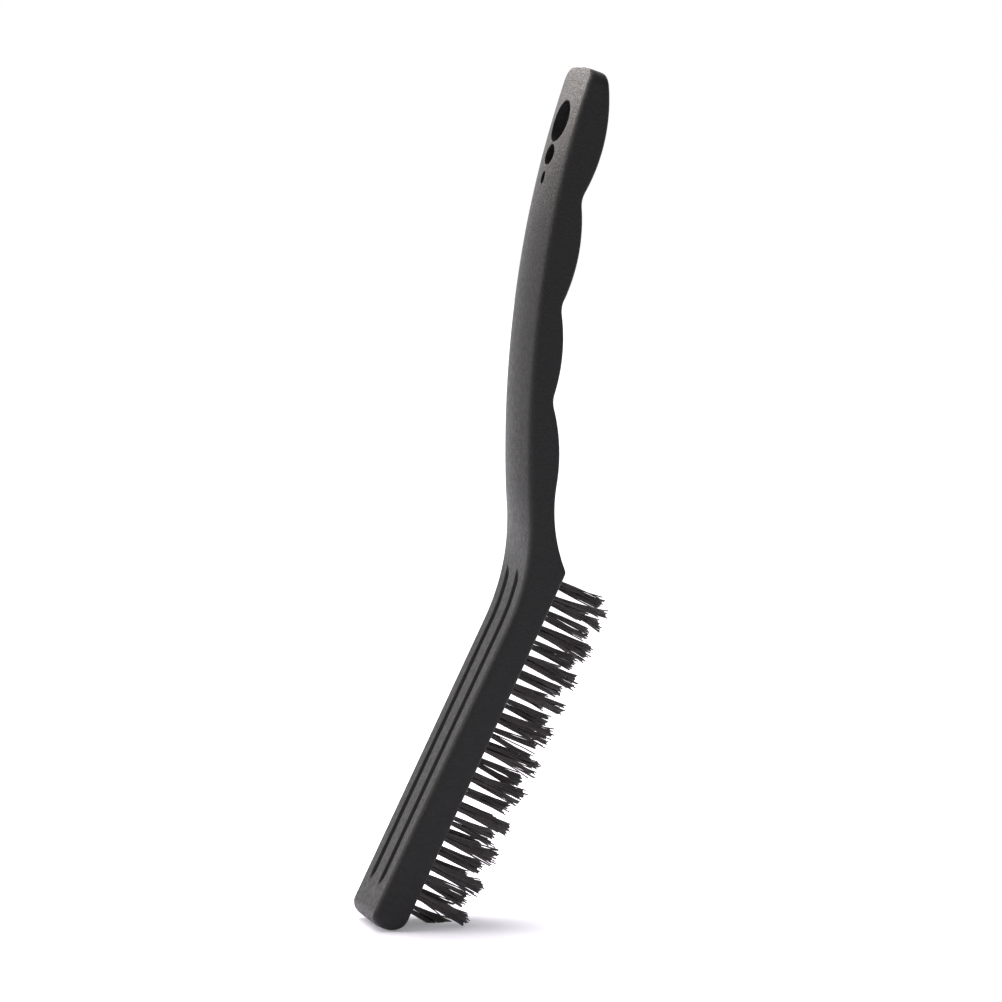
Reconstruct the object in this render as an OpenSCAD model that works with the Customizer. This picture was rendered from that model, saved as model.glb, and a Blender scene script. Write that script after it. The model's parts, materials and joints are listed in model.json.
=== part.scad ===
// Hand brush with a one-piece moulded body: a straight bristle head, a neck bend and a
// raised handle with four finger swells. Tufts stand in three staggered rows, and a flat
// wire anchor holds each folded tuft at the bottom of its own hole.
//
// The body is drawn in the head's own axes: u runs from the toe along the head's back,
// v points out of the back and away from the bristles, and w runs across the rows.
// It is then laid on one flat side, with X from toe to handle end and Z across the rows.

/* [Body] */
// Width of the body across the bristle rows
body_w = 25; // [20:0.5:32]
// Straight length of the back, from the toe to the neck bend
head_len = 79.1; // [64:0.1:100]
// Thickness of the head at its toe
toe_thk = 8.6; // [7:0.1:11]
// Thickness of the head at its heel
heel_thk = 7.7; // [6.5:0.1:10]
// How far the bristle face runs on past the start of the bend
heel_past_bend = 18.5; // [15:0.1:23]
// Radius of the rounding between the toe and the back
toe_back_r = 3; // [1:0.1:3.5]
// Radius of the rounding between the toe and the bristle face
toe_face_r = 4.5; // [1:0.1:4.8]
// Radius of the rounding at the heel
heel_r = 1.6; // [0.6:0.1:2.4]
// Radius along both edges of the back
edge_r = 1.4; // [0.8:0.1:3]
// Radius along both edges of the underside
under_r = 0.7; // [0.3:0.1:1.2]
// Radius of the plan corners at the toe
toe_corner_r = 3.5; // [1:0.1:5]
// Length of the plan corners at the handle end
end_corner_r = 2.8; // [1:0.1:4]
// How much wider than long those corners are
end_spread = 1.8; // [1:0.1:2.5]

/* [Neck and handle] */
// Radius of the back in the neck bend
bend_r = 61; // [48:1:75]
// Angle that the neck turns through
bend_angle = 28.3; // [22:0.1:34]
// Radius of the hollow between the heel and the first finger swell
neck_r = 40; // [32:1:46]
// Radius of the long curve along the back of the handle
grip_r = 289; // [225:1:360]
// Length of the handle along that curve
grip_len = 108.75; // [104:0.05:130]
// Radius of each finger swell
finger_r = 45; // [36:1:56]
// Radius of the hollows between the finger swells
hollow_r = 6.5; // [1.5:0.1:9]
// Places of the swells along the handle
finger_at = [13.3, 38.3, 64, 90.5]; // [10:0.1:100]
// Handle thickness at the top of each swell
finger_thk = [7.55, 7.2, 8.05, 8.25]; // [6.5:0.05:10]
// Radius of the rounding under the handle end
nose_r = 1.3; // [0.8:0.1:2.6]
// Height of the palm crown over the edges of the back
crown_h = 2; // [0.8:0.1:2.6]
// How far before the handle, in the neck bend, the crown begins
crown_lead = 20; // [16:1:26]
// Length over which the crown rises to its full height
crown_rise = 25; // [20:1:40]
// Distance along the handle at which the crown would have faded out
crown_end = 125; // [112:1:135]
// Length over which the crown fades out
crown_fade = 60; // [45:1:80]
// Diameter of the trimmed moulding gate on the handle end
gate_d = 1.8; // [1:0.1:2.5]
// Height of the trimmed moulding gate
gate_h = 0.4; // [0.2:0.1:0.8]
// Distance of the gate's middle below the back
gate_below = 1.4; // [1.3:0.1:4]

/* [Hanging holes] */
// Places of the three holes along the handle
hole_at = [94.9, 86.3, 80.5]; // [70:0.1:100]
// Size of each hole along the handle
hole_len = [10.8, 5.4, 3.4]; // [2:0.1:14]
// Size of each hole across the handle
hole_w = [13, 7.4, 3]; // [2:0.1:16]

/* [Back grooves] */
// Width of each groove
groove_w = 3; // [2:0.1:4]
// Depth of each groove
groove_depth = 0.9; // [0.6:0.1:1.2]
// Distance between the two grooves
groove_gap = 9.7; // [6:0.1:11]
// Distance from the toe to the grooves
groove_toe = 8.6; // [5:0.1:14]
// How far the grooves run past the start of the bend
groove_past_bend = 14.6; // [6:0.1:18]

/* [Tufts and anchors] */
// Number of tufts in the middle row; the outer rows hold one fewer
middle_count = 12; // [6:1:12]
// Distance from the toe to the first middle tuft
tuft_toe = 6.9; // [5.5:0.1:9]
// Distance from the last middle tuft to the heel
tuft_heel = 3.4; // [3:0.1:6]
// Distance from the middle row to each outer row
row_gap = 8.3; // [6:0.1:8.4]
// Diameter of a tuft where it leaves the face
tuft_d = 2.4; // [2:0.1:3.2]
// Diameter of a tuft at its tips
tip_d = 4; // [2.8:0.1:4.8]
// Free length of the bristles
bristle_len = 14.5; // [10:0.5:20]
// Depth of a tuft hole below the face
hole_depth = 5; // [4:0.1:5.6]
// Radial gap between a tuft and its hole
tuft_gap = 0.02; // [0.01:0.01:0.06]
// Thickness of the flat anchor wire
anchor_t = 0.35; // [0.25:0.05:0.5]
// Height of an anchor along its hole
anchor_h = 1.8; // [1.2:0.1:2.4]
// How far each end of an anchor bites into the plastic
anchor_bite = 0.3; // [0.15:0.05:0.5]
// Thickness of the filament loop under an anchor
loop_h = 0.5; // [0.3:0.1:0.9]

/* [Hidden] */
$fn = 96;
eps = 0.01;
reach = 24; // how far the cutters run past what they shape
DEG = 180 / PI;

function polar(c, r, a) = c + r * [cos(a), sin(a)];
function arc(c, r, a0, a1, n) = [for (i = [0:n]) polar(c, r, a0 + (a1 - a0) * i / n)];
function angle_to(from, to) = atan2(to.y - from.y, to.x - from.x);

// Where two circles meet, on the right-hand side of the line from c0 to c1
function circles_meet(c0, r0, c1, r1) =
    let (d = norm(c1 - c0), t = (c1 - c0) / d, a = (d * d + r0 * r0 - r1 * r1) / (2 * d))
    c0 + a * t + sqrt(r0 * r0 - a * a) * [t.y, -t.x];

// The back: straight head, neck bend, long handle curve
bend_centre = [head_len, bend_r];
bend_end = polar(bend_centre, bend_r, bend_angle - 90);
grip_centre = polar(bend_end, grip_r, bend_angle - 90);
function grip_dir(l) = bend_angle - l / grip_r * DEG;
function grip_point(l, depth) = polar(grip_centre, grip_r - depth, 90 + grip_dir(l));

// The bristle face
heel_u = head_len + heel_past_bend;
function head_thk(u) = toe_thk + (heel_thk - toe_thk) * u / heel_u;

// Finger swells, the hollows between them and the neck hollow
last = len(finger_at) - 1;
swells = [for (i = [0:last]) grip_point(finger_at[i], finger_thk[i] - finger_r)];
hollows = [for (i = [0:last - 1])
    circles_meet(swells[i], finger_r + hollow_r, swells[i + 1], finger_r + hollow_r)];
neck_centre = circles_meet([heel_u, -heel_thk], neck_r, swells[0], neck_r + finger_r);
heel_v = heel_r - heel_thk;
heel_centre = [neck_centre.x - sqrt(pow(neck_r + heel_r, 2) - pow(heel_v - neck_centre.y, 2)), heel_v];

// The nose under the handle end touches the last swell from inside and the end face
end_dir = grip_dir(grip_len);
end_along = [cos(end_dir), sin(end_dir)];
end_up = [-sin(end_dir), cos(end_dir)];
end_back = grip_point(grip_len, 0);
swell_in = [(swells[last] - end_back) * end_along, (swells[last] - end_back) * end_up];
nose_in = [-nose_r, swell_in.y - sqrt(pow(finger_r - nose_r, 2) - pow(nose_r + swell_in.x, 2))];
nose_centre = end_back + nose_in.x * end_along + nose_in.y * end_up;

function hollow_after(i) = i == last ? nose_centre : hollows[i];
function hollow_before(i) = i == 0 ? neck_centre : hollows[i - 1];
function swell_arc(i) = arc(swells[i], finger_r,
    angle_to(swells[i], hollow_after(i)), angle_to(swells[i], hollow_before(i)), 8);
function hollow_arc(i) = arc(hollows[i - 1], hollow_r,
    angle_to(hollows[i - 1], swells[i]), angle_to(hollows[i - 1], swells[i - 1]), 3);

// Underside from the handle end to the last of the flat bristle face
face_us = [for (i = [1:4]) heel_centre.x + (head_len - heel_centre.x) * i / 4];
face_slope = atan((heel_thk - toe_thk) / heel_u);
arc_points = concat(
    arc(nose_centre, nose_r, end_dir, angle_to(swells[last], nose_centre), 6),
    [for (i = [last:-1:0]) each concat(swell_arc(i), i > 0 ? hollow_arc(i) : [])],
    arc(neck_centre, neck_r, angle_to(neck_centre, swells[0]), angle_to(neck_centre, heel_centre), 12),
    arc(heel_centre, heel_r, angle_to(heel_centre, neck_centre), -90 - face_slope, 4));
under_points = concat(
    [for (i = [0:len(arc_points) - 1]) if (i == 0 || norm(arc_points[i] - arc_points[i - 1]) > 0.05) arc_points[i]],
    [for (u = face_us) [u, -head_thk(u)]]);

// A rounded corner of radius r: how far it stands back at distance x from the end
function corner_drop(r, x) = x >= r ? 0 : r - sqrt(r * r - pow(r - x, 2));
toe_us = [for (a = [0:15:90]) toe_face_r * (1 - sin(a))];

// Distance of an underside point along the handle's back, less than 0 on the neck and head
function bend_turn(p) = angle_to(bend_centre, p) + 90;
function along(p) = bend_turn(p) < bend_angle
    ? (bend_turn(p) - bend_angle) * bend_r / DEG
    : (bend_angle - angle_to(grip_centre, p) + 90) * grip_r / DEG;
function back_point(l) = l < 0 ? polar(bend_centre, bend_r, bend_angle - 90 + l / bend_r * DEG) : grip_point(l, 0);
function ease(t) = t <= 0 ? 0 : t >= 1 ? 1 : (1 - cos(180 * t)) / 2;
function crown_height(l) = crown_h * ease((l + crown_lead) / crown_rise) * ease((crown_end - l) / crown_fade);
function crown_share(x) = 1 - x * x;

// Half of a cross-section, from under its middle to over its middle: x is across, y is height
top_steps = 5;
function half_section(half, h, crown) =
    let (r1 = min(under_r, h * 0.3), r2 = min(edge_r, h * 0.6))
    concat(
        [[0, 0]],
        arc([half - r1, r1], r1, -90, 0, 2),
        [for (p = arc([half - r2, h - r2], r2, 0, 90, 4)) p + [0, crown * crown_share(p.x / half)]],
        [for (k = [1:top_steps])
            let (x = (half - r2) * (1 - k / top_steps)) [x, h + crown * crown_share(x / half)]]);

// A whole cross-section in place, from its lowest to its highest point in side view
function ring(low, high, half, crown) =
    let (up = (high - low) / norm(high - low), side = half_section(half, norm(high - low), crown), n = len(side))
    [for (i = [0:2 * n - 3])
        let (q = i < n ? side[i] : side[2 * n - 2 - i], p = low + q.y * up) [p.x, p.y, i < n ? q.x : -q.x]];

rings = concat(
    [for (p = under_points)
        let (l = min(along(p), grip_len))
        ring(p, back_point(l), body_w / 2 - end_spread * corner_drop(end_corner_r, grip_len - l), crown_height(l))],
    [for (u = toe_us)
        ring([u, -head_thk(u) + corner_drop(toe_face_r, u)], [u, -corner_drop(toe_back_r, u)],
            body_w / 2 - corner_drop(toe_corner_r, u), 0)]);

// Tuft places in the head's axes
tuft_pitch = (heel_u - tuft_toe - tuft_heel) / (middle_count - 1);
middle_us = [for (i = [0:middle_count - 1]) tuft_toe + i * tuft_pitch];
outer_us = [for (i = [0:middle_count - 2]) tuft_toe + (i + 0.5) * tuft_pitch];
row_us = [outer_us, middle_us, outer_us];
row_ws = [-row_gap, 0, row_gap];
row_names = ["lower", "middle", "upper"];
tips_v = -heel_thk - bristle_len;
anchor_len = tuft_d + 2 * tuft_gap + 2 * anchor_bite;

// The brush lies on its side with the chord from toe to handle end along X
lie_angle = angle_to([0, 0], end_back);
function laid(p) = [p.x * cos(lie_angle) + p.y * sin(lie_angle), p.y * cos(lie_angle) - p.x * sin(lie_angle)];
extreme_points = [for (p = concat(
    [for (r = rings) each [[r[0].x, r[0].y], [r[len(r) / 2].x, r[len(r) / 2].y]]],
    [for (u = middle_us) each [[u - tip_d / 2, tips_v], [u + tip_d / 2, tips_v]]])) laid(p)];
xs = [for (p = extreme_points) p.x];
ys = [for (p = extreme_points) p.y];
centre = [(min(xs) + max(xs)) / 2, (min(ys) + max(ys)) / 2];

function two_digits(i) = i < 10 ? str("0", i) : str(i);
function tuft_name(row, i) = str("tuft_", row_names[row], "_", two_digits(i + 1));
function anchors_name(row) = str("anchors_", row_names[row]);

// Everything drawn in the head's axes passes through here
module lay_down() {
    translate([-centre.x, -centre.y, body_w / 2])
        rotate([0, 0, -lie_angle])
            children();
}

// The whole body as one skin through its cross-sections, before anything is cut
module body_skin() {
    n = len(rings[0]);
    ends = len(rings) - 1;
    polyhedron(
        points = [for (r = rings) each r],
        faces = concat(
            [[for (i = [0:n - 1]) i]],
            [[for (i = [n:-1:1]) ends * n + i % n]],
            [for (k = [0:ends - 1]) each [for (i = [0:n - 1])
                let (a = k * n + i, b = k * n + (i + 1) % n) each [[a, a + n, b], [b, a + n, b + n]]]]));
}

// Two shallow grooves that follow the back of the head into the bend
module back_grooves() {
    groove_turn = asin(groove_past_bend / bend_r);
    outline = concat(
        [[groove_toe, -groove_depth], [groove_toe, groove_depth], [head_len, groove_depth]],
        arc(bend_centre, bend_r - groove_depth, -90, groove_turn - 90, 8),
        arc(bend_centre, bend_r + groove_depth, groove_turn - 90, -90, 8));
    for (side = [-1, 1])
        translate([0, 0, side * groove_gap / 2 - groove_w / 2])
            linear_extrude(height = groove_w)
                polygon(outline);
}

// Three oval holes in line through the handle, across its thickness
module hanging_holes() {
    for (i = [0:len(hole_at) - 1])
        translate(concat(grip_point(hole_at[i], 0), 0))
            rotate([0, 0, grip_dir(hole_at[i])])
                rotate([90, 0, 0])
                    linear_extrude(height = 2 * reach, center = true)
                        polygon([for (a = [0:10:350]) [hole_len[i] / 2 * cos(a), hole_w[i] / 2 * sin(a)]]);
}

// Moves a tuft's parts to its place, with the hole's mouth at the origin and +Z outwards
module at_tuft(row, i) {
    u = row_us[row][i];
    translate([u, -head_thk(u), row_ws[row]])
        rotate([90, 0, 0])
            children();
}

// A blind tuft hole, with the slit that its anchor is pressed into
module tuft_hole() {
    translate([0, 0, -hole_depth])
        cylinder(d = tuft_d + 2 * tuft_gap, h = hole_depth + 1);
    anchor();
}

// A piece of flat wire that pins a folded tuft near the bottom of its hole
module anchor() {
    translate([-anchor_t / 2, -anchor_len / 2, loop_h - hole_depth])
        cube([anchor_t, anchor_len, anchor_h]);
}

// One tuft: the packed part in its hole and the free bristles, which spread to their tips
module tuft(row, i) {
    tip_h = -tips_v - head_thk(row_us[row][i]);
    color("#1c1b1b")
        lay_down()
            at_tuft(row, i)
                difference() {
                    union() {
                        translate([0, 0, -hole_depth])
                            cylinder(d = tuft_d, h = hole_depth + eps);
                        cylinder(d1 = tuft_d, d2 = tip_d, h = tip_h);
                    }
                    anchor();
                }
}

// All anchors of one row
module anchors(row) {
    color("#b4b2ac")
        lay_down()
            for (i = [0:len(row_us[row]) - 1])
                at_tuft(row, i)
                    anchor();
}

// The moulded body: head, neck and handle in one piece
module brush_body() {
    color("#2b2a2a")
        lay_down()
            difference() {
                union() {
                    body_skin();
                    translate(concat(end_back - gate_below * end_up, 0))
                        rotate([0, 90, end_dir])
                            translate([0, 0, -1])
                                cylinder(d = gate_d, h = 1 + gate_h);
                }
                back_grooves();
                hanging_holes();
                for (row = [0:2])
                    for (i = [0:len(row_us[row]) - 1])
                        at_tuft(row, i)
                            tuft_hole();
            }
}

brush_body();
for (row = [0:2])
    for (i = [0:len(row_us[row]) - 1])
        tuft(row, i);
for (row = [0:2])
    anchors(row);
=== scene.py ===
import json
import math
import random

import bmesh
import bpy
from mathutils import Euler, Matrix, Vector

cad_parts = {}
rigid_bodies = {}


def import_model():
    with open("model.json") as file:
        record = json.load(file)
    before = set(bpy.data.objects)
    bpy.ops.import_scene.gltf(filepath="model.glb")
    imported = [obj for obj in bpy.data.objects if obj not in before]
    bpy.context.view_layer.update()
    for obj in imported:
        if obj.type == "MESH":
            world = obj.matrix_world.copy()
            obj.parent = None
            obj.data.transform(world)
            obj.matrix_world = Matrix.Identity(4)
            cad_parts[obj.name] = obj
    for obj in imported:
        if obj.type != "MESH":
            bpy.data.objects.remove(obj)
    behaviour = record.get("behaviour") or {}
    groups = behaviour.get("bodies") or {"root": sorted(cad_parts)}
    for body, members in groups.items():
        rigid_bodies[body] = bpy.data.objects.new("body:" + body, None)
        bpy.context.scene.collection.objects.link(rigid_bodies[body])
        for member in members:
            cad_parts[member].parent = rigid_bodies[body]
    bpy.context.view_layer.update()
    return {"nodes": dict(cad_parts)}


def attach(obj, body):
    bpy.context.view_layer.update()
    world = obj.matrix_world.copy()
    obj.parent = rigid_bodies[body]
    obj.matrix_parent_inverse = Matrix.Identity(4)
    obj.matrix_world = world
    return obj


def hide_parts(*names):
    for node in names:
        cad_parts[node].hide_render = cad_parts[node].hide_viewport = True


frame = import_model()
scene = bpy.context.scene
for name in ("Cube", "Camera", "Light"):
    if name in bpy.data.objects:
        bpy.data.objects.remove(bpy.data.objects[name])
mm = 0.001


def hexColor(text):
    # sRGB hex to the linear colour that a shader socket wants
    parts = [int(text[i:i + 2], 16) / 255 for i in (1, 3, 5)]
    return tuple(c / 12.92 if c <= 0.04045 else ((c + 0.055) / 1.055) ** 2.4 for c in parts) + (1,)


def addNode(tree, kind, settings=None, links=None):
    # settings: node attributes, or input sockets by name or number; links: input -> output socket
    node = tree.nodes.new(kind)
    for key, value in (settings or {}).items():
        if isinstance(key, str) and hasattr(node, key):
            setattr(node, key, value)
        else:
            node.inputs[key].default_value = value
    for key, source in (links or {}).items():
        tree.links.new(source, node.inputs[key])
    return node


def newMaterial(name):
    material = bpy.data.materials.new(name)
    material.use_nodes = True
    material.node_tree.nodes.clear()
    return material, material.node_tree


capSides = 40  # a face with this many sides or more is an end face, and stays flat


def finishPiece(name, mesh, material, sharpAngle):
    piece = bpy.data.objects.new(name, mesh)
    scene.collection.objects.link(piece)
    mesh.materials.clear()
    mesh.materials.append(material)
    bm = bmesh.new()
    bm.from_mesh(mesh)
    for face in bm.faces:
        face.smooth = len(face.verts) < capSides
    for edge in bm.edges:
        edge.smooth = edge.calc_face_angle(0) < math.radians(sharpAngle)
    bm.to_mesh(mesh)
    bm.free()
    return piece


# u runs from the toe along the head's back, v out of the back, w across the rows, all in mm

lay = {
    "turn": 10.6857,  # degrees from the head's back to the chord that lies along X
    "centre": (107.019, -18.6965),  # middle of the whole object's box, after the turn
    "halfWidth": 12.5,
}
headTurn = Matrix.Rotation(-math.radians(lay["turn"]), 4, "Z")
toCentre = Matrix.Translation((-lay["centre"][0], -lay["centre"][1], lay["halfWidth"]))
headToRow = Matrix.Scale(mm, 4) @ toCentre @ headTurn

profile = {
    "headLength": 79.1,
    "toeThick": 8.6,
    "heelThick": 7.7,
    "heelPastBend": 18.5,  # from the start of the bend to the heel, along the head
    "toeBackRadius": 3.0,
    "toeFaceRadius": 4.5,
    "heelRadius": 1.6,
    "toeCorner": 3.5,
    "endCorner": 2.8,
    "endSpread": 1.8,  # how much wider than long the plan corners of the handle end are
    "backEdge": 1.4,
    "underEdge": 0.7,
    "bendRadius": 61.0,
    "bendAngle": 28.3,
    "neckRadius": 40.0,
    "gripRadius": 289.0,
    "gripLength": 108.75,
    "fingerRadius": 45.0,
    "hollowRadius": 6.5,
    "fingerAt": (13.3, 38.3, 64.0, 90.5),  # the four swells, measured along the handle's back
    "fingerThick": (7.55, 7.2, 8.05, 8.25),
    "noseRadius": 1.3,
    "crownHeight": 2.0,
    "crownLead": 20.0,  # the crown starts this far before the handle
    "crownRise": 25.0,
    "crownEnd": 125.0,  # past the handle's end, so some of the crown is left there
    "crownFade": 60.0,
    "step": 0.9,  # length of one quad along the handle and the neck
    "headStep": 1.5,
    "hollowStep": 0.4,
    "noseStep": 0.35,
    "heelStep": 0.3,
    "toeStep": 6,  # degrees of the toe's round
    "leastStep": 0.05,  # stations closer than this are one
}


def polar(centre, radius, degrees):
    a = math.radians(degrees)
    return Vector((centre.x + radius * math.cos(a), centre.y + radius * math.sin(a)))


def angleTo(start, end):
    return math.degrees(math.atan2(end.y - start.y, end.x - start.x))


def arcPoints(centre, radius, start, end, step):
    count = max(3, math.ceil(abs(math.radians(end - start)) * radius / step))
    return [polar(centre, radius, start + (end - start) * i / count) for i in range(count + 1)]


def circlesMeet(c0, r0, c1, r1):
    # the crossing on the right-hand side of the line from c0 to c1
    gap = (c1 - c0).length
    along = (c1 - c0) / gap
    a = (gap * gap + r0 * r0 - r1 * r1) / (2 * gap)
    return c0 + a * along + math.sqrt(r0 * r0 - a * a) * Vector((along.y, -along.x))


def cornerDrop(radius, x):
    return 0 if x >= radius else radius - math.sqrt(max(0, radius ** 2 - (radius - x) ** 2))


p = profile
bendCentre = Vector((p["headLength"], p["bendRadius"]))
bendEnd = polar(bendCentre, p["bendRadius"], p["bendAngle"] - 90)
gripCentre = polar(bendEnd, p["gripRadius"], p["bendAngle"] - 90)
heelU = p["headLength"] + p["heelPastBend"]


def gripTurn(length):
    return p["bendAngle"] - math.degrees(length / p["gripRadius"])


def gripPoint(length, depth):
    return polar(gripCentre, p["gripRadius"] - depth, 90 + gripTurn(length))


def headThick(u):
    return p["toeThick"] + (p["heelThick"] - p["toeThick"]) * u / heelU


def ease(t):
    return (1 - math.cos(math.pi * min(1, max(0, t)))) / 2


def crownAt(length):
    rise = ease((length + p["crownLead"]) / p["crownRise"])
    return p["crownHeight"] * rise * ease((p["crownEnd"] - length) / p["crownFade"])


def bodyStations():
    # (low point, high point, half width, crown) from the handle end to the toe
    swells = [gripPoint(at, thick - p["fingerRadius"]) for at, thick in zip(p["fingerAt"], p["fingerThick"])]
    reachOut = p["fingerRadius"] + p["hollowRadius"]
    hollows = [circlesMeet(a, reachOut, b, reachOut) for a, b in zip(swells, swells[1:])]
    heelPoint = Vector((heelU, -p["heelThick"]))
    neck = circlesMeet(heelPoint, p["neckRadius"], swells[0], p["neckRadius"] + p["fingerRadius"])
    heelV = p["heelRadius"] - p["heelThick"]
    heel = Vector((neck.x - math.sqrt((p["neckRadius"] + p["heelRadius"]) ** 2 - (heelV - neck.y) ** 2), heelV))
    turn = math.radians(gripTurn(p["gripLength"]))
    along = Vector((math.cos(turn), math.sin(turn)))
    up = Vector((-math.sin(turn), math.cos(turn)))
    endBack = gripPoint(p["gripLength"], 0)
    inX, inY = (swells[-1] - endBack).dot(along), (swells[-1] - endBack).dot(up)
    noseR = p["noseRadius"]
    noseY = inY - math.sqrt((p["fingerRadius"] - noseR) ** 2 - (noseR + inX) ** 2)
    nose = endBack - noseR * along + noseY * up
    step = p["step"]
    low = arcPoints(nose, noseR, math.degrees(turn), angleTo(swells[-1], nose), p["noseStep"])
    for i in reversed(range(len(swells))):
        after = hollows[i] if i < len(hollows) else nose
        before = neck if i == 0 else hollows[i - 1]
        low += arcPoints(swells[i], p["fingerRadius"], angleTo(swells[i], after), angleTo(swells[i], before), step)
        if i:
            ends = angleTo(before, swells[i]), angleTo(before, swells[i - 1])
            low += arcPoints(before, p["hollowRadius"], *ends, p["hollowStep"])
    low += arcPoints(neck, p["neckRadius"], angleTo(neck, swells[0]), angleTo(neck, heel), step)
    downward = -89.6  # degrees: square to the bristle face
    low += arcPoints(heel, p["heelRadius"], angleTo(heel, neck), downward, p["heelStep"])
    faceSteps = round((heel.x - p["headLength"]) / step)
    faceUs = [heel.x + (p["headLength"] - heel.x) * i / faceSteps for i in range(1, faceSteps + 1)]
    low += [Vector((u, -headThick(u))) for u in faceUs]
    stations = []
    last = None
    for point in low:
        if last and (point - last).length < p["leastStep"]:
            continue
        last = point
        bendTurn = angleTo(bendCentre, point) + 90
        if bendTurn < p["bendAngle"]:
            length = math.radians(bendTurn - p["bendAngle"]) * p["bendRadius"]
            high = polar(bendCentre, p["bendRadius"], bendTurn - 90)
        else:
            length = math.radians(p["bendAngle"] - angleTo(gripCentre, point) + 90) * p["gripRadius"]
            length = min(length, p["gripLength"])
            high = gripPoint(length, 0)
        half = lay["halfWidth"] - p["endSpread"] * cornerDrop(p["endCorner"], p["gripLength"] - length)
        stations.append((point, high, half, crownAt(length)))
    straight = p["headLength"] - p["toeFaceRadius"]
    headSteps = round(straight / p["headStep"])
    us = [p["headLength"] + (p["toeFaceRadius"] - p["headLength"]) * i / headSteps for i in range(1, headSteps + 1)]
    us += [p["toeFaceRadius"] * (1 - math.sin(math.radians(a))) for a in range(8, 91, p["toeStep"])]
    for u in us + [0]:
        bottom = Vector((u, -headThick(u) + cornerDrop(p["toeFaceRadius"], u)))
        top = Vector((u, -cornerDrop(p["toeBackRadius"], u)))
        stations.append((bottom, top, lay["halfWidth"] - cornerDrop(p["toeCorner"], u), 0))
    return stations


quads = {"under": 10, "underEdge": 4, "side": 5, "backEdge": 6, "back": 12}  # over half a section


def halfSection(half, height, crown):
    # (across, height) from under the middle, round the side, to over the middle
    under, back = min(p["underEdge"], height * 0.3), min(p["backEdge"], height * 0.6)
    points = [((half - under) * i / quads["under"], 0) for i in range(quads["under"] + 1)]
    for i in range(1, quads["underEdge"] + 1):
        a = math.radians(90 * i / quads["underEdge"])
        points.append((half - under + under * math.sin(a), under - under * math.cos(a)))
    for i in range(1, quads["side"] + 1):
        points.append((half, under + (height - under - back) * i / quads["side"]))
    for i in range(1, quads["backEdge"] + 1):
        a = math.radians(90 * i / quads["backEdge"])
        x = half - back + back * math.cos(a)
        points.append((x, height - back + back * math.sin(a) + crown * (1 - (x / half) ** 2)))
    for i in range(1, quads["back"] + 1):
        x = (half - back) * (1 - i / quads["back"])
        points.append((x, height + crown * (1 - (x / half) ** 2)))
    return points


def bodySkin():
    stations = bodyStations()
    rings = []
    for low, high, half, crown in stations:
        up = (high - low).normalized()
        side = halfSection(half, (high - low).length, crown)
        loop = side + [(-x, h) for x, h in side[-2:0:-1]]
        rings.append([Vector((low.x + h * up.x, low.y + h * up.y, x)) for x, h in loop])
    count = len(rings[0])
    bm = bmesh.new()
    bmesh.ops.create_grid(bm, x_segments=len(rings) - 1, y_segments=count, size=1)
    bm.verts.ensure_lookup_table()
    across = count + 1  # the grid's last row of vertices lands on its first, and is merged with it
    xs = sorted({round(v.co.x, 5) for v in bm.verts})
    ys = sorted({round(v.co.y, 5) for v in bm.verts})
    columnOf = {x: i for i, x in enumerate(xs)}
    rowOf = {y: i for i, y in enumerate(ys)}
    for v in bm.verts:
        v.co = rings[columnOf[round(v.co.x, 5)]][rowOf[round(v.co.y, 5)] % count]
    bmesh.ops.remove_doubles(bm, verts=bm.verts, dist=0.004)
    bmesh.ops.holes_fill(bm, edges=[e for e in bm.edges if e.is_boundary], sides=0)
    bmesh.ops.recalc_face_normals(bm, faces=bm.faces)
    print("body skin:", len(rings), "sections of", count, "points")
    return bm


def bmToObject(bm, name):
    mesh = bpy.data.meshes.new(name)
    bm.to_mesh(mesh)
    bm.free()
    obj = bpy.data.objects.new(name, mesh)
    scene.collection.objects.link(obj)
    return obj


def cutWith(target, cutter, operation="DIFFERENCE"):
    modifier = target.modifiers.new("cut", "BOOLEAN")
    modifier.operation = operation
    modifier.solver = "EXACT"
    modifier.object = cutter
    depsgraph = bpy.context.evaluated_depsgraph_get()
    mesh = bpy.data.meshes.new_from_object(target.evaluated_get(depsgraph))
    target.modifiers.clear()
    old = target.data
    target.data = mesh
    bpy.data.meshes.remove(old)
    bpy.data.objects.remove(cutter)


holes = {
    "at": (94.9, 86.3, 80.5),  # along the handle's back
    "length": (10.8, 5.4, 3.4),
    "width": (13.0, 7.4, 3.0),
    "reach": 40,  # of the cutters, well over the handle's thickness
}


def turnAndPlace(bm, verts, turns, point):
    for degrees, axis in turns:
        matrix = Matrix.Rotation(math.radians(degrees), 3, axis)
        bmesh.ops.rotate(bm, cent=(0, 0, 0), matrix=matrix, verts=verts)
    bmesh.ops.translate(bm, vec=point.to_3d(), verts=verts)


def holeCutters():
    cutters = []
    for at, length, width in zip(holes["at"], holes["length"], holes["width"]):
        bm = bmesh.new()
        bmesh.ops.create_cone(bm, cap_ends=True, segments=64, radius1=1, radius2=1, depth=holes["reach"])
        bmesh.ops.scale(bm, vec=(length / 2, width / 2, 1), verts=bm.verts)
        turnAndPlace(bm, bm.verts, [(90, "X"), (gripTurn(at), "Z")], gripPoint(at, 0))
        cutters.append(bmToObject(bm, "holeCutter"))
    return cutters


groove = {
    "width": 3.0,
    "depth": 0.9,
    "gap": 9.7,
    "fromToe": 8.6,
    "pastBend": 14.6,
    "lip": 0.4,
    "runOut": 2.6,  # length over which each end climbs back to the surface
    "clear": 0.15,  # how far above the surface the ends come out
}


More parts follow.
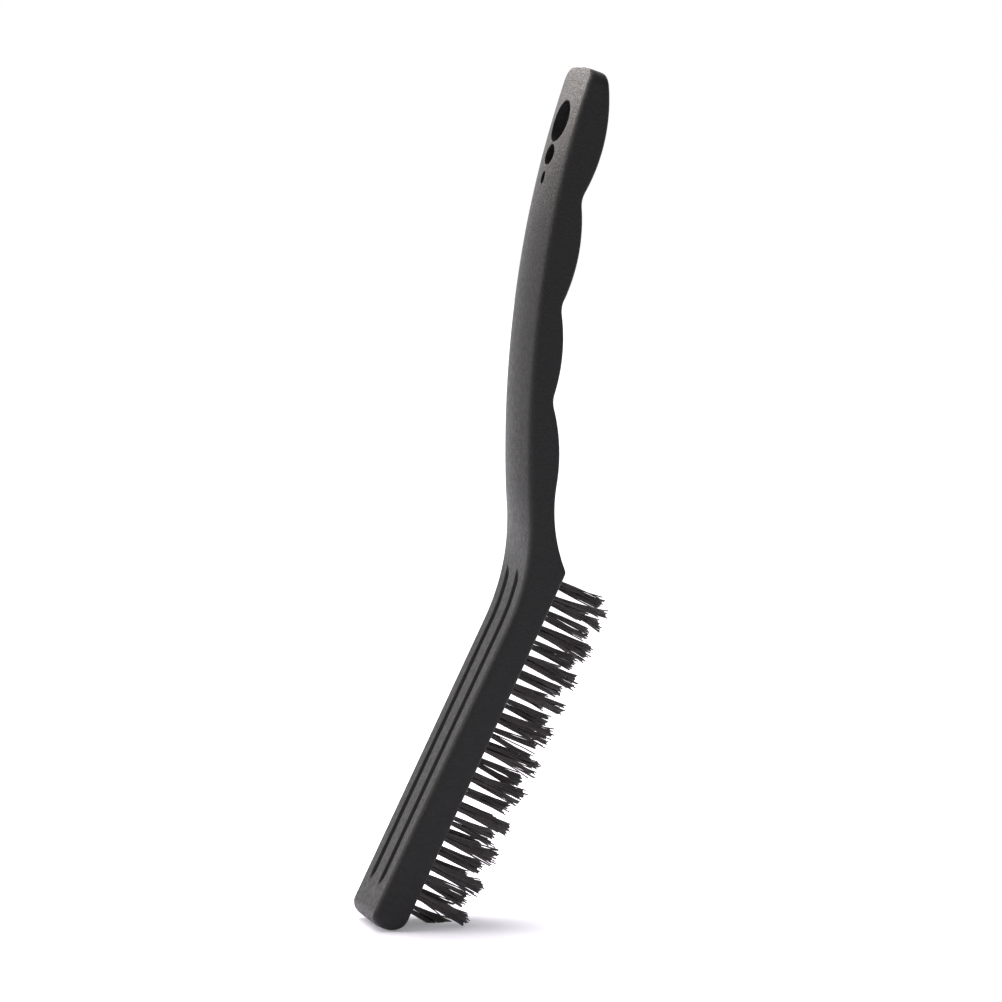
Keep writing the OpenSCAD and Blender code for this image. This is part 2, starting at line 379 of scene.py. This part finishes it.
def grooveCutter():
    # a channel with softened lips and corners, lowered in at the toe, swept along the back and lifted out
    half, lip, depth = groove["width"] / 2, groove["lip"], groove["depth"]
    outline = [(half + lip * 1.4, 0.6), (half + lip, 0.0), (half + lip * 0.4, -0.08), (half, -lip),
               (half - 0.05, -depth + 0.3), (half - 0.2, -depth + 0.08), (half - 0.5, -depth), (0, -depth)]
    outline += [(-x, y) for x, y in outline[-2::-1]]
    rise, run = depth + groove["clear"], groove["runOut"]
    turn = math.asin(groove["pastBend"] / p["bendRadius"]) - run / p["bendRadius"]
    bm = bmesh.new()

    def sweep(face, shift):
        swept = bmesh.ops.extrude_face_region(bm, geom=[face])["geom"]
        bmesh.ops.translate(bm, vec=shift, verts=[g for g in swept if isinstance(g, bmesh.types.BMVert)])
        return next(g for g in swept if isinstance(g, bmesh.types.BMFace))

    for middle in (-groove["gap"] / 2, groove["gap"] / 2):
        corners = [bm.verts.new((groove["fromToe"], y + rise, x + middle)) for x, y in outline]
        face = sweep(bm.faces.new(corners), Vector((run, -rise, 0)))
        face = sweep(face, Vector((p["headLength"] - groove["fromToe"] - run, 0, 0)))
        spun = bmesh.ops.spin(bm, geom=[face], cent=bendCentre.to_3d(), axis=(0, 0, 1), angle=turn, steps=16)
        face = next(g for g in spun["geom_last"] if isinstance(g, bmesh.types.BMFace))
        sweep(face, Matrix.Rotation(turn, 3, "Z") @ Vector((run, rise, 0)))
    bmesh.ops.remove_doubles(bm, verts=bm.verts, dist=0.001)
    inside = [f for f in bm.faces if all(len(e.link_faces) > 2 for e in f.edges)]
    bmesh.ops.delete(bm, geom=inside, context="FACES_ONLY")
    bmesh.ops.recalc_face_normals(bm, faces=bm.faces)
    return bmToObject(bm, "grooveCutter")


tufts = {
    "middleCount": 12,
    "fromToe": 6.9,
    "fromHeel": 3.4,
    "rowGap": 8.3,
    "rows": (("lower", 0.5, -1, -1), ("middle", 0, 0, 0), ("upper", 0.5, -1, 1)),  # shift, extra tufts, side
    "holeRadius": 1.22,
    "holeDepth": 5.0,
    "length": 14.5,
    "filament": 0.32,  # diameter of one filament
    "pairs": 22,  # folded filaments in a tuft, each with two free ends
    "besideAnchor": 0.33,  # least distance of a filament from the middle of the anchor
    "tipSpread": 0.62,  # how far the tip leans out for each mm that the base is off the tuft's middle
    "worn": 0.35,  # mean wear of a tip
    "uneven": 0.45,  # the rest are spreads of the random part, in mm at the tip
    "stray": 0.14,
    "flick": 0.22,
    "bow": 0.1,
    "clump": (0.62, 0.55),  # how far a tuft's clumps stand apart, along and across the rows
    "clumpStray": 0.36,
    "endLean": (-0.7, 0.4),  # the tufts at the toe and the heel lean off the ends
    "tuftLean": 0.3,
}


def tuftPlaces():
    pitch = (heelU - tufts["fromToe"] - tufts["fromHeel"]) / (tufts["middleCount"] - 1)
    rows = {}
    for name, shift, more, side in tufts["rows"]:
        us = [tufts["fromToe"] + (i + shift) * pitch for i in range(tufts["middleCount"] + more)]
        rows[name] = [Vector((u, -headThick(u), side * tufts["rowGap"])) for u in us]
    return rows


gate = {
    "diameter": 1.8,
    "height": 0.4,
    "length": 1.4,  # with the part that is sunk into the end face
    "edge": 0.15,
    "below": 1.4,  # from the back's edge down the end face
}


def gateNub():
    # what is left of the moulding gate after it was trimmed, with a broken edge
    bm = bmesh.new()
    radius = gate["diameter"] / 2
    bmesh.ops.create_cone(bm, cap_ends=True, segments=24, radius1=radius, radius2=radius, depth=gate["length"])
    top = [e for e in bm.edges if all(v.co.z > 0 for v in e.verts)]
    bmesh.ops.bevel(bm, geom=top, offset=gate["edge"], segments=2, profile=0.5, affect="EDGES", material=-1)
    bmesh.ops.translate(bm, vec=(0, 0, gate["height"] - gate["length"] / 2), verts=bm.verts)
    point = gripPoint(p["gripLength"], gate["below"])
    turnAndPlace(bm, bm.verts, [(90, "Y"), (gripTurn(p["gripLength"]), "Z")], point)
    return bmToObject(bm, "gateNub")


def tuftHoleCutter():
    bm = bmesh.new()
    radius, depth = tufts["holeRadius"], tufts["holeDepth"]
    outside = 1  # length of each cutter below the bristle face
    for places in tuftPlaces().values():
        for place in places:
            new = bmesh.ops.create_cone(bm, cap_ends=True, segments=28, radius1=radius, radius2=radius,
                                        depth=depth + outside)["verts"]
            turnAndPlace(bm, new, [(90, "X")], place + Vector((0, (depth - outside) / 2, 0)))
    return bmToObject(bm, "tuftHoleCutter")


def makeBody(material):
    # the cuts are made in mm, one cutter at a time, and the body is laid down after them
    body = bmToObject(bodySkin(), "body")
    cutWith(body, gateNub(), "UNION")
    for cutter in [grooveCutter(), tuftHoleCutter()] + holeCutters():
        cutWith(body, cutter)
    mesh = body.data
    mesh.transform(headToRow)
    bpy.data.objects.remove(body)
    piece = finishPiece("moulded_body", mesh, material, 38)
    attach(piece, "root")
    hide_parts("brush_body")
    print("body:", len(mesh.polygons), "faces")


def filamentPath(rng, base, clump):
    # from the fold under the anchor, up the hole, out of the face and on to the tip
    x, z = base
    reachTip = tufts["length"] + rng.gauss(0, tufts["uneven"]) - tufts["worn"]
    leanX = clump[0] + x * tufts["tipSpread"] + rng.gauss(0, tufts["stray"])
    leanZ = clump[1] + z * tufts["tipSpread"] + rng.gauss(0, tufts["stray"])
    flick = [rng.gauss(0, tufts["flick"]) * rng.choice((1, 1, 2)) for side in "xz"]  # worn ends turn aside
    bow = [rng.gauss(0, tufts["bow"]) for side in "xz"]
    points = []
    for t in (0, 0.12, 0.3, 0.5, 0.75, 1):
        wave = math.sin(math.pi * t)
        aside = t ** 1.15
        points.append(Vector((x + leanX * aside + flick[0] * t ** 4 + bow[0] * wave, -reachTip * t,
                              z + leanZ * aside + flick[1] * t ** 4 + bow[1] * wave)))
    return points


def makeTuft(name, place, node, material, seed, lean):
    rng = random.Random(seed)
    curve = bpy.data.curves.new(name, "CURVE")
    curve.dimensions = "3D"
    curve.bevel_depth = tufts["filament"] / 2
    curve.bevel_resolution = 1  # a filament has six sides
    curve.use_fill_caps = True
    clumpCount = rng.choice((3, 3, 4, 5))
    turn = rng.uniform(0, math.tau)
    apart, stray = tufts["clump"], tufts["clumpStray"]
    clumpTurns = [turn + math.tau * k / clumpCount for k in range(clumpCount)]
    clumps = [(rng.gauss(0, stray) + apart[0] * math.cos(a), rng.gauss(0, stray) + apart[1] * math.sin(a))
              for a in clumpTurns]
    radius = tufts["holeRadius"] - tufts["filament"] / 2 - 0.02
    least = tufts["besideAnchor"]
    for k in range(tufts["pairs"]):
        ends = []
        r = radius * math.sqrt((k + 0.5) / tufts["pairs"])
        a = math.pi * ((k * 0.381966) % 1) - math.pi / 2  # golden steps round the half turn pack them evenly
        x, z = max(least, r * math.cos(a)), r * math.sin(a)
        for sign in (1, -1):
            base = (sign * x + rng.gauss(0, 0.04), z + rng.gauss(0, 0.04))
            pick = int(((math.atan2(base[1], base[0]) - turn) / math.tau * clumpCount + 0.5)) % clumpCount
            clump = (clumps[pick][0] + lean, clumps[pick][1])
            free = filamentPath(rng, base, clump)
            inside = [Vector((sign * max(least, x * 0.93), 2.6, z * 0.95)),  # squeezed in a little up the hole
                      Vector((sign * max(least, x * 0.9), 4.35, z * 0.9))]
            ends.append(free[::-1] + inside)
        fold = Vector((0, 4.5 + 0.28 * (1 - k / tufts["pairs"]), z * 0.9))
        path = ends[0] + [fold] + ends[1][::-1]
        spline = curve.splines.new("POLY")
        spline.points.add(len(path) - 1)
        for point, co in zip(spline.points, path):
            point.co = (co + place).to_4d()
    holder = bpy.data.objects.new(name + "_curve", curve)
    scene.collection.objects.link(holder)
    depsgraph = bpy.context.evaluated_depsgraph_get()
    mesh = bpy.data.meshes.new_from_object(holder.evaluated_get(depsgraph))
    bpy.data.objects.remove(holder)
    mesh.transform(headToRow)
    mesh.name = name
    piece = finishPiece(name, mesh, material, 50)
    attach(piece, "root")
    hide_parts(node)
    return piece


def makeTufts(material):
    total = 0
    rng = random.Random(7)
    for r, (row, places) in enumerate(tuftPlaces().items()):
        leans = [tufts["endLean"][0]] + [0] * (len(places) - 2) + [tufts["endLean"][1]]
        for i, (place, lean) in enumerate(zip(places, leans)):
            label = f"{row}_{i + 1:02d}"
            lean += rng.gauss(0, tufts["tuftLean"])
            piece = makeTuft("bristles_" + label, place, "tuft_" + label, material, 100 * r + i, lean)
            total += len(piece.data.polygons)
    print("bristles:", total, "faces")


plastic = {
    "pit": 0.6,  # mm across
    "depth": 0.2,
    "patch": 1.4,  # mm across one duller or glossier patch
    "brokenEdge": 0.3,  # at the holes and the grooves
    "dark": "#1d1d1e",
    "light": "#2b2a2a",
    "roughness": (0.32, 0.54),
}


def noiseScale(size):
    # size in mm of one spot of a noise that reads coordinates in metres
    return 1 / (size * mm)


def mixTint(tree, first, second, share):
    # the colour sockets of a Mix node share their names with its number sockets, so they go by place
    return addNode(tree, "ShaderNodeMix", {"data_type": "RGBA", 6: hexColor(first), 7: hexColor(second)},
                   {"Factor": share}).outputs[2]


def blackPlastic():
    # black polypropylene, injection moulded in a spark-eroded mould: a fine even grain, satin sheen
    # the pits are really about 0.1 mm wide, too fine to show, so they are drawn as wide as plastic["pit"]
    material, tree = newMaterial("black moulded polypropylene")
    coords = addNode(tree, "ShaderNodeTexCoord")
    place = {"Vector": coords.outputs["Object"]}
    fine = {"Scale": noiseScale(plastic["pit"]), "Detail": 3.0, "Roughness": 0.65}
    grain = addNode(tree, "ShaderNodeTexNoise", fine, place)
    broad = {"Scale": noiseScale(plastic["patch"]), "Detail": 4.0, "Roughness": 0.7}
    cloud = addNode(tree, "ShaderNodeTexNoise", broad, place)
    low, high = plastic["roughness"]
    rough = addNode(tree, "ShaderNodeMapRange", {"From Min": 0.3, "From Max": 0.7, "To Min": low, "To Max": high},
                    {"Value": cloud.outputs["Fac"]})
    tint = mixTint(tree, plastic["dark"], plastic["light"], grain.outputs["Fac"])
    rounded = addNode(tree, "ShaderNodeBevel", {"samples": 4, "Radius": plastic["brokenEdge"] * mm})
    bump = addNode(tree, "ShaderNodeBump", {"Strength": 0.9, "Distance": plastic["depth"] * mm},
                   {"Height": grain.outputs["Fac"], "Normal": rounded.outputs["Normal"]})
    shader = addNode(tree, "ShaderNodeBsdfPrincipled", {"IOR": 1.49, "Specular IOR Level": 0.18},
                     {"Base Color": tint, "Roughness": rough.outputs["Result"], "Normal": bump.outputs["Normal"]})
    addNode(tree, "ShaderNodeOutputMaterial", links={"Surface": shader.outputs["BSDF"]})
    return material


nylon = {
    "stretch": 1.1,  # mm along one browner stretch
    "dark": "#070606",
    "brown": "#2e201c",
    "roughness": (0.22, 0.38),
}


def blackFilament():
    # extruded nylon filament: smooth and glossier than the body, with browner stretches
    material, tree = newMaterial("black nylon filament")
    coords = addNode(tree, "ShaderNodeTexCoord")
    streak = addNode(tree, "ShaderNodeTexNoise", {"Scale": noiseScale(nylon["stretch"]), "Detail": 1.0},
                     {"Vector": coords.outputs["Object"]})
    patch = addNode(tree, "ShaderNodeMapRange", {"From Min": 0.35, "From Max": 0.65},
                    {"Value": streak.outputs["Fac"]})
    tint = mixTint(tree, nylon["dark"], nylon["brown"], patch.outputs["Result"])
    low, high = nylon["roughness"]
    rough = addNode(tree, "ShaderNodeMapRange", {"To Min": low, "To Max": high}, {"Value": streak.outputs["Fac"]})
    shader = addNode(tree, "ShaderNodeBsdfPrincipled", {"IOR": 1.53},
                     {"Base Color": tint, "Roughness": rough.outputs["Result"]})
    addNode(tree, "ShaderNodeOutputMaterial", links={"Surface": shader.outputs["BSDF"]})
    return material


steelWire = {
    "lineGap": 0.25,
    "lineLength": 3.3,
    "color": "#b9b8b4",
    "roughness": (0.25, 0.45),
}


def anchorSteel():
    # flat steel wire, drawn bright: fine lines along the draw
    # they are really a few hundredths of a mm apart, too fine to show, so they stand steelWire["lineGap"] apart
    material, tree = newMaterial("drawn steel wire")
    coords = addNode(tree, "ShaderNodeTexCoord")
    across, along = noiseScale(steelWire["lineGap"]), noiseScale(steelWire["lineLength"])
    drawn = addNode(tree, "ShaderNodeMapping", {"Scale": (across, across, along)},
                    {"Vector": coords.outputs["Object"]})
    lines = addNode(tree, "ShaderNodeTexNoise", {"Scale": 1.0, "Detail": 2.0}, {"Vector": drawn.outputs["Vector"]})
    low, high = steelWire["roughness"]
    rough = addNode(tree, "ShaderNodeMapRange", {"To Min": low, "To Max": high}, {"Value": lines.outputs["Fac"]})
    steel = {"Metallic": 1.0, "Base Color": hexColor(steelWire["color"])}
    shader = addNode(tree, "ShaderNodeBsdfPrincipled", steel, {"Roughness": rough.outputs["Result"]})
    addNode(tree, "ShaderNodeOutputMaterial", links={"Surface": shader.outputs["BSDF"]})
    return material


view = {
    "place": (0.0305241, 0.3348014, 1.2643878),
    "turn": (-5.041425, -13.704435, -74.906755),  # degrees
    "lens": 189.25,
    "sensor": 36,
    "farthest": 20,
}


def makeCamera():
    data = bpy.data.cameras.new("camera")
    data.lens = view["lens"]
    data.sensor_width = view["sensor"]
    data.clip_end = view["farthest"]
    camera = bpy.data.objects.new("camera", data)
    camera.location = view["place"]
    camera.rotation_euler = Euler([math.radians(a) for a in view["turn"]])
    scene.collection.objects.link(camera)
    scene.camera = camera
    bpy.context.view_layer.update()
    return camera


def seenRays(tree):
    # 1 for what the camera sees directly, mirrored or through something, 0 for what only lights the scene
    ray = addNode(tree, "ShaderNodeLightPath")
    mirrored = addNode(tree, "ShaderNodeMath", {"operation": "MAXIMUM"},
                       {0: ray.outputs["Is Camera Ray"], 1: ray.outputs["Is Glossy Ray"]})
    return addNode(tree, "ShaderNodeMath", {"operation": "MAXIMUM"},
                   {0: mirrored.outputs[0], 1: ray.outputs["Is Transmission Ray"]}).outputs[0]


stage = {
    "tilt": 5,  # degrees that the camera looks down on the floor
    "floorColor": "#ebe9f7",
    "paintedShadowGlow": 0.2,  # how much of the paper's white doesn't come from the lamps, under the brush; this glow is kept low there, which paints a shadow round the toe
    "paintedShadowFade": (0.01, 0.075),  # distances from the toe between which that rises to 1, where the painted shadow ends
    "size": 3,
    "drop": 0.2,  # mm from the lowest point of the toe to the floor
}


def makeStage(camera):
    # the brush stands on its toe: the floor is square to the camera's upright, tipped a little towards it
    axes = camera.matrix_world.to_3x3()
    tilt = math.radians(stage["tilt"])
    normal = (axes.col[1] * math.cos(tilt) + axes.col[2] * math.sin(tilt)).normalized()
    toe = min((v.co for v in frame["nodes"]["brush_body"].data.vertices), key=lambda co: co.dot(normal))
    bm = bmesh.new()
    bmesh.ops.create_grid(bm, x_segments=1, y_segments=1, size=stage["size"])
    turn = normal.to_track_quat("Z", "Y").to_matrix().to_4x4()
    down = Matrix.Translation(normal * (toe.dot(normal) - stage["drop"] * mm))
    bmesh.ops.transform(bm, matrix=down @ turn, verts=bm.verts)
    mesh = bpy.data.meshes.new("floor")
    bm.to_mesh(mesh)
    bm.free()
    floor = bpy.data.objects.new("floor", mesh)
    scene.collection.objects.link(floor)
    material, tree = newMaterial("matt white paper")
    geometry = addNode(tree, "ShaderNodeNewGeometry")
    diffuse = addNode(tree, "ShaderNodeBsdfDiffuse", {"Color": hexColor(stage["floorColor"])})
    coords = addNode(tree, "ShaderNodeTexCoord")
    # painted shadow: the glow that the camera sees on the paper is lowered near the toe, so the paper darkens round
    # where the brush stands, on top of its real shadow
    away = addNode(tree, "ShaderNodeVectorMath", {"operation": "DISTANCE", 1: toe}, {0: coords.outputs["Object"]})
    near, far = stage["paintedShadowFade"]
    paintedShadowFade = {"interpolation_type": "SMOOTHSTEP", "From Min": near, "From Max": far,
            "To Min": stage["paintedShadowGlow"], "To Max": 1.0}
    paintedShadowMap = addNode(tree, "ShaderNodeMapRange", paintedShadowFade, {"Value": away.outputs["Value"]})
    paintedShadowGlow = addNode(tree, "ShaderNodeMath", {"operation": "MULTIPLY"},
                   {0: seenRays(tree), 1: paintedShadowMap.outputs["Result"]})
    glow = addNode(tree, "ShaderNodeEmission", {"Color": (1, 1, 1, 1)}, {"Strength": paintedShadowGlow.outputs[0]})
    both = addNode(tree, "ShaderNodeAddShader", links={0: diffuse.outputs[0], 1: glow.outputs[0]})
    clear = addNode(tree, "ShaderNodeBsdfTransparent")
    oneSided = addNode(tree, "ShaderNodeMixShader",
                       links={0: geometry.outputs["Backfacing"], 1: both.outputs[0], 2: clear.outputs[0]})
    addNode(tree, "ShaderNodeOutputMaterial", links={"Surface": oneSided.outputs[0]})
    mesh.materials.append(material)


lamps = {
    "strip over the handle": {
        "place": (0.21, 0.13, -0.19), "aim": (0.09, 0.015, 0.0125),
        "size": 0.2, "power": 0.7, "tint": (1, 0.92, 0.89),
    },
    "softbox at the left": {
        "place": (0.52, 0.62, -0.13), "aim": (0, 0, 0.0125),
        "size": 0.7, "power": 4.2, "tint": (1, 0.94, 0.88),
    },
    "card for the near edge": {
        "place": (0.02, 0.7, -0.14), "aim": (0, 0, 0.0125),
        "size": 0.3, "power": 1.8, "tint": (1, 0.95, 0.9),
    },
}

room = {
    "behind": 1.0,  # the white sweep behind the brush
    "front": 0.58,  # the darker room at the sides and on the camera's side
    "turn": (0.5, 0.92),  # cosines of the angles from straight ahead between which one becomes the other
    "fill": 0.72,  # share of it all that lights the paper and the plastic
}


def makeLights(camera):
    for name, lamp in lamps.items():
        data = bpy.data.lights.new(name, "AREA")
        data.shape = "DISK"
        data.size = lamp["size"]
        data.energy = lamp["power"]
        data.color = lamp["tint"]
        light = bpy.data.objects.new(name, data)
        light.location = lamp["place"]
        light.rotation_euler = (Vector(lamp["aim"]) - light.location).to_track_quat("-Z", "Y").to_euler()
        light.visible_camera = False
        scene.collection.objects.link(light)
    world = bpy.data.worlds.new("white room")
    world.use_nodes = True
    tree = world.node_tree
    tree.nodes.clear()
    coords = addNode(tree, "ShaderNodeTexCoord")
    ahead = -camera.matrix_world.to_3x3().col[2]
    facing = addNode(tree, "ShaderNodeVectorMath", {"operation": "DOT_PRODUCT", 1: ahead},
                     {0: coords.outputs["Generated"]})
    side, middle = room["turn"]
    sweep = {"interpolation_type": "SMOOTHSTEP", "From Min": side, "From Max": middle,
             "To Min": room["front"], "To Max": room["behind"]}
    depth = addNode(tree, "ShaderNodeMapRange", sweep, {"Value": facing.outputs["Value"]})
    share = addNode(tree, "ShaderNodeMapRange", {"To Min": room["fill"], "To Max": 1.0}, {"Value": seenRays(tree)})
    strength = addNode(tree, "ShaderNodeMath", {"operation": "MULTIPLY"},
                       {0: depth.outputs["Result"], 1: share.outputs["Result"]})
    background = addNode(tree, "ShaderNodeBackground", {"Color": (1, 1, 1, 1)}, {"Strength": strength.outputs[0]})
    addNode(tree, "ShaderNodeOutputWorld", links={"Surface": background.outputs[0]})
    scene.world = world


camera = makeCamera()
makeStage(camera)
makeLights(camera)
print("camera, floor and lights are in")
makeBody(blackPlastic())
makeTufts(blackFilament())
steel = anchorSteel()
for name, node in frame["nodes"].items():
    if name.startswith("anchors_"):
        node.data.materials.clear()
        node.data.materials.append(steel)
print("anchors have their steel")

scene.view_settings.view_transform = "Standard"
